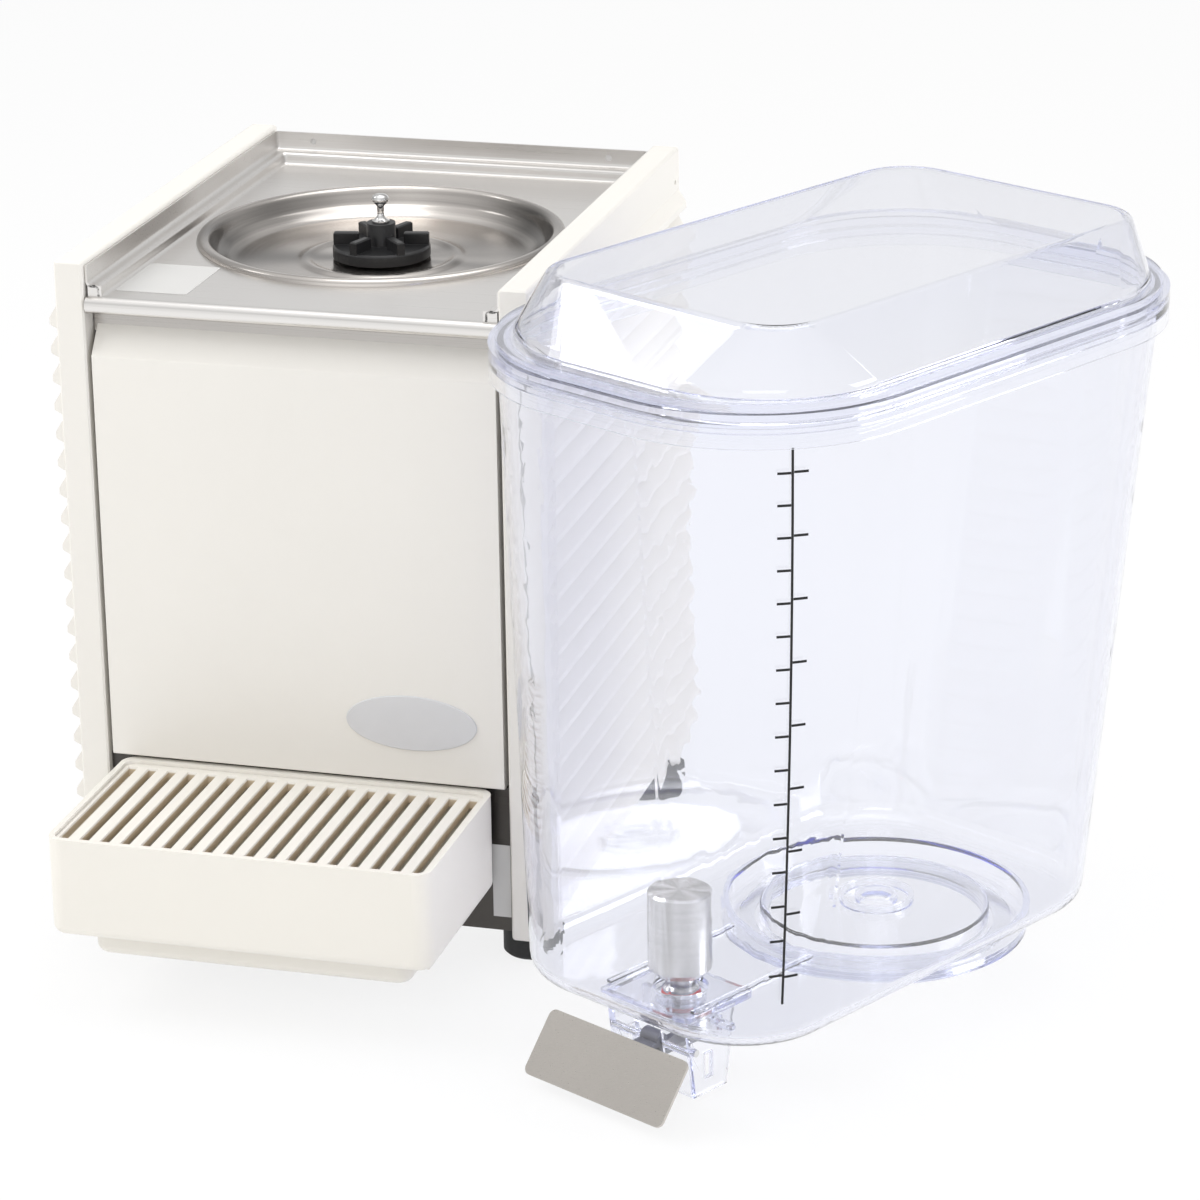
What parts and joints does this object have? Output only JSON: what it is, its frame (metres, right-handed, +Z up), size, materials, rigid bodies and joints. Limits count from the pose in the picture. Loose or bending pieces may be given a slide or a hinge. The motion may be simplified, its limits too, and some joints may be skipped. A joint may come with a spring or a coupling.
{
  "type": "refrigerated_drink_dispenser",
  "caption": "Refrigerated drink dispenser: a ribbed cabinet with a cooling dish, a magnetic impeller and a drip tray, and a clear lidded bowl with a push valve standing beside it.",
  "frame": {"origin": "under the middle of the whole set, on the surface it stands on", "axes": "+X to the right seen from the front, +Y from the front to the back, +Z up"},
  "size_m": [0.5823, 0.4968, 0.414],
  "materials": {
    "shell_white": "gloss",
    "tray_cream": "gloss",
    "deck_steel": "brushed",
    "dish_steel": "brushed",
    "panel_steel": "satin",
    "zinc_steel": "satin",
    "bright_steel": "polished",
    "plunger_steel": "brushed",
    "plate_steel": "brushed",
    "clear_bowl": "gloss",
    "clear_lid": "gloss",
    "clear_parts": "gloss",
    "lever_grey": "satin",
    "black_plastic": "satin",
    "magnet_black": "satin",
    "thermostat_body": "satin",
    "black_rubber": "matte",
    "clear_seal": "satin",
    "red_rubber": "satin",
    "black_paint": "gloss",
    "motor_paint": "satin",
    "capacitor_case": "satin",
    "fin_aluminium": "satin",
    "copper": "satin",
    "foam": "matte",
    "label_silver": "satin",
    "badge": "gloss",
    "print_black": "matte"
  },
  "bodies": {
    "cabinet": {"left_side_panel": "shell_white", "right_side_panel": "shell_white", "front_panel": "shell_white", "tray_rails": "tray_cream", "top_deck": "deck_steel", "lower_front_plate": "deck_steel", "evaporator_dish": "dish_steel", "rear_panel": "panel_steel", "base_pan": "zinc_steel", "motor_bracket": "zinc_steel", "fan_shroud": "zinc_steel", "fan_bracket": "zinc_steel", "condenser_end_plates": "zinc_steel", "control_box": "zinc_steel", "impeller_pin": "bright_steel", "rear_screws": "bright_steel", "side_screws": "bright_steel", "compressor_nuts": "bright_steel", "start_relay": "black_plastic", "cable_gland": "black_plastic", "switch_housing": "black_plastic", "thermostat": "thermostat_body", "feet": "black_rubber", "compressor_grommets": "black_rubber", "compressor": "black_paint", "drive_motor": "motor_paint", "fan_motor": "motor_paint", "run_capacitor": "capacitor_case", "condenser_fins": "fin_aluminium", "condenser_tubes": "copper", "evaporator_coil": "copper", "suction_line": "copper", "discharge_line": "copper", "liquid_line": "copper", "capillary_tube": "copper", "filter_drier": "copper", "insulation_ring": "foam", "data_label": "label_silver", "deck_label": "label_silver", "badge_plate": "badge"},
    "impeller": {"impeller": "black_plastic"},
    "drive_rotor": {"drive_magnet": "magnet_black"},
    "fan": {"fan_blade": "black_plastic"},
    "knob": {"thermostat_knob": "black_plastic"},
    "rocker": {"power_rocker": "black_plastic"},
    "tray": {"drip_tray": "tray_cream"},
    "grille": {"drip_grille": "tray_cream"},
    "bowl": {"bowl_shell": "clear_bowl", "bowl_seal": "clear_seal", "level_scale": "print_black", "valve_body": "clear_parts", "valve_lock_pin": "clear_parts", "handle_pivot_pin": "bright_steel"},
    "cover": {"impeller_cover": "clear_parts"},
    "lid": {"bowl_lid": "clear_lid"},
    "handle": {"push_lever": "lever_grey", "push_plate": "plate_steel"},
    "plunger": {"plunger_weight": "plunger_steel", "plunger_stem": "plunger_steel", "plunger_seal_rings": "red_rubber"}
  },
  "joints": [
    {"name": "rotor_spin", "type": "hinge", "parent": "cabinet", "child": "drive_rotor", "pos_m": [-0.15618, 0.08754, 0.33], "axis": [0, 0, 1], "continuous": true},
    {"name": "impeller_spin", "type": "hinge", "parent": "cabinet", "child": "impeller", "pos_m": [-0.15618, 0.08754, 0.355], "axis": [0, 0, 1], "continuous": true},
    {"name": "fan_spin", "type": "hinge", "parent": "cabinet", "child": "fan", "pos_m": [-0.15618, 0.18234, 0.096], "axis": [0, 1, 0], "continuous": true},
    {"name": "knob_turn", "type": "hinge", "parent": "cabinet", "child": "knob", "pos_m": [-0.23618, 0.24214, 0.242], "axis": [0, 1, 0], "range_deg": [-150, 150]},
    {"name": "rocker_press", "type": "hinge", "parent": "cabinet", "child": "rocker", "pos_m": [-0.20018, 0.23464, 0.25352], "axis": [1, 0, 0], "range_deg": [-18, 0]},
    {"name": "tray_slide", "type": "slide", "parent": "cabinet", "child": "tray", "axis": [0, -1, 0], "range_m": [0, 0.14]},
    {"name": "grille_lift", "type": "slide", "parent": "tray", "child": "grille", "axis": [0, 0, 1], "range_m": [0, 0.06]},
    {"name": "bowl_lift", "type": "slide", "parent": "cabinet", "child": "bowl", "axis": [0, 0, 1], "range_m": [0, 0.35]},
    {"name": "lid_lift", "type": "slide", "parent": "bowl", "child": "lid", "axis": [0, 0, 1], "range_m": [0, 0.12]},
    {"name": "cover_lift", "type": "slide", "parent": "bowl", "child": "cover", "axis": [0, 0, 1], "range_m": [0, 0.2]},
    {"name": "handle_push", "type": "hinge", "parent": "bowl", "child": "handle", "pos_m": [0.06856, -0.18513, 0.026], "axis": [0.8821, -0.471, 0], "range_deg": [0, 9]},
    {"name": "plunger_lift", "type": "slide", "parent": "bowl", "child": "plunger", "axis": [0, 0, 1], "range_m": [0, 0.00339]}
  ],
  "couplings": [
    {"joint": "impeller_spin", "follows": "rotor_spin", "ratio": 1},
    {"joint": "handle_push", "follows": "plunger_lift", "rad_per_m": 46.296}
  ]
}
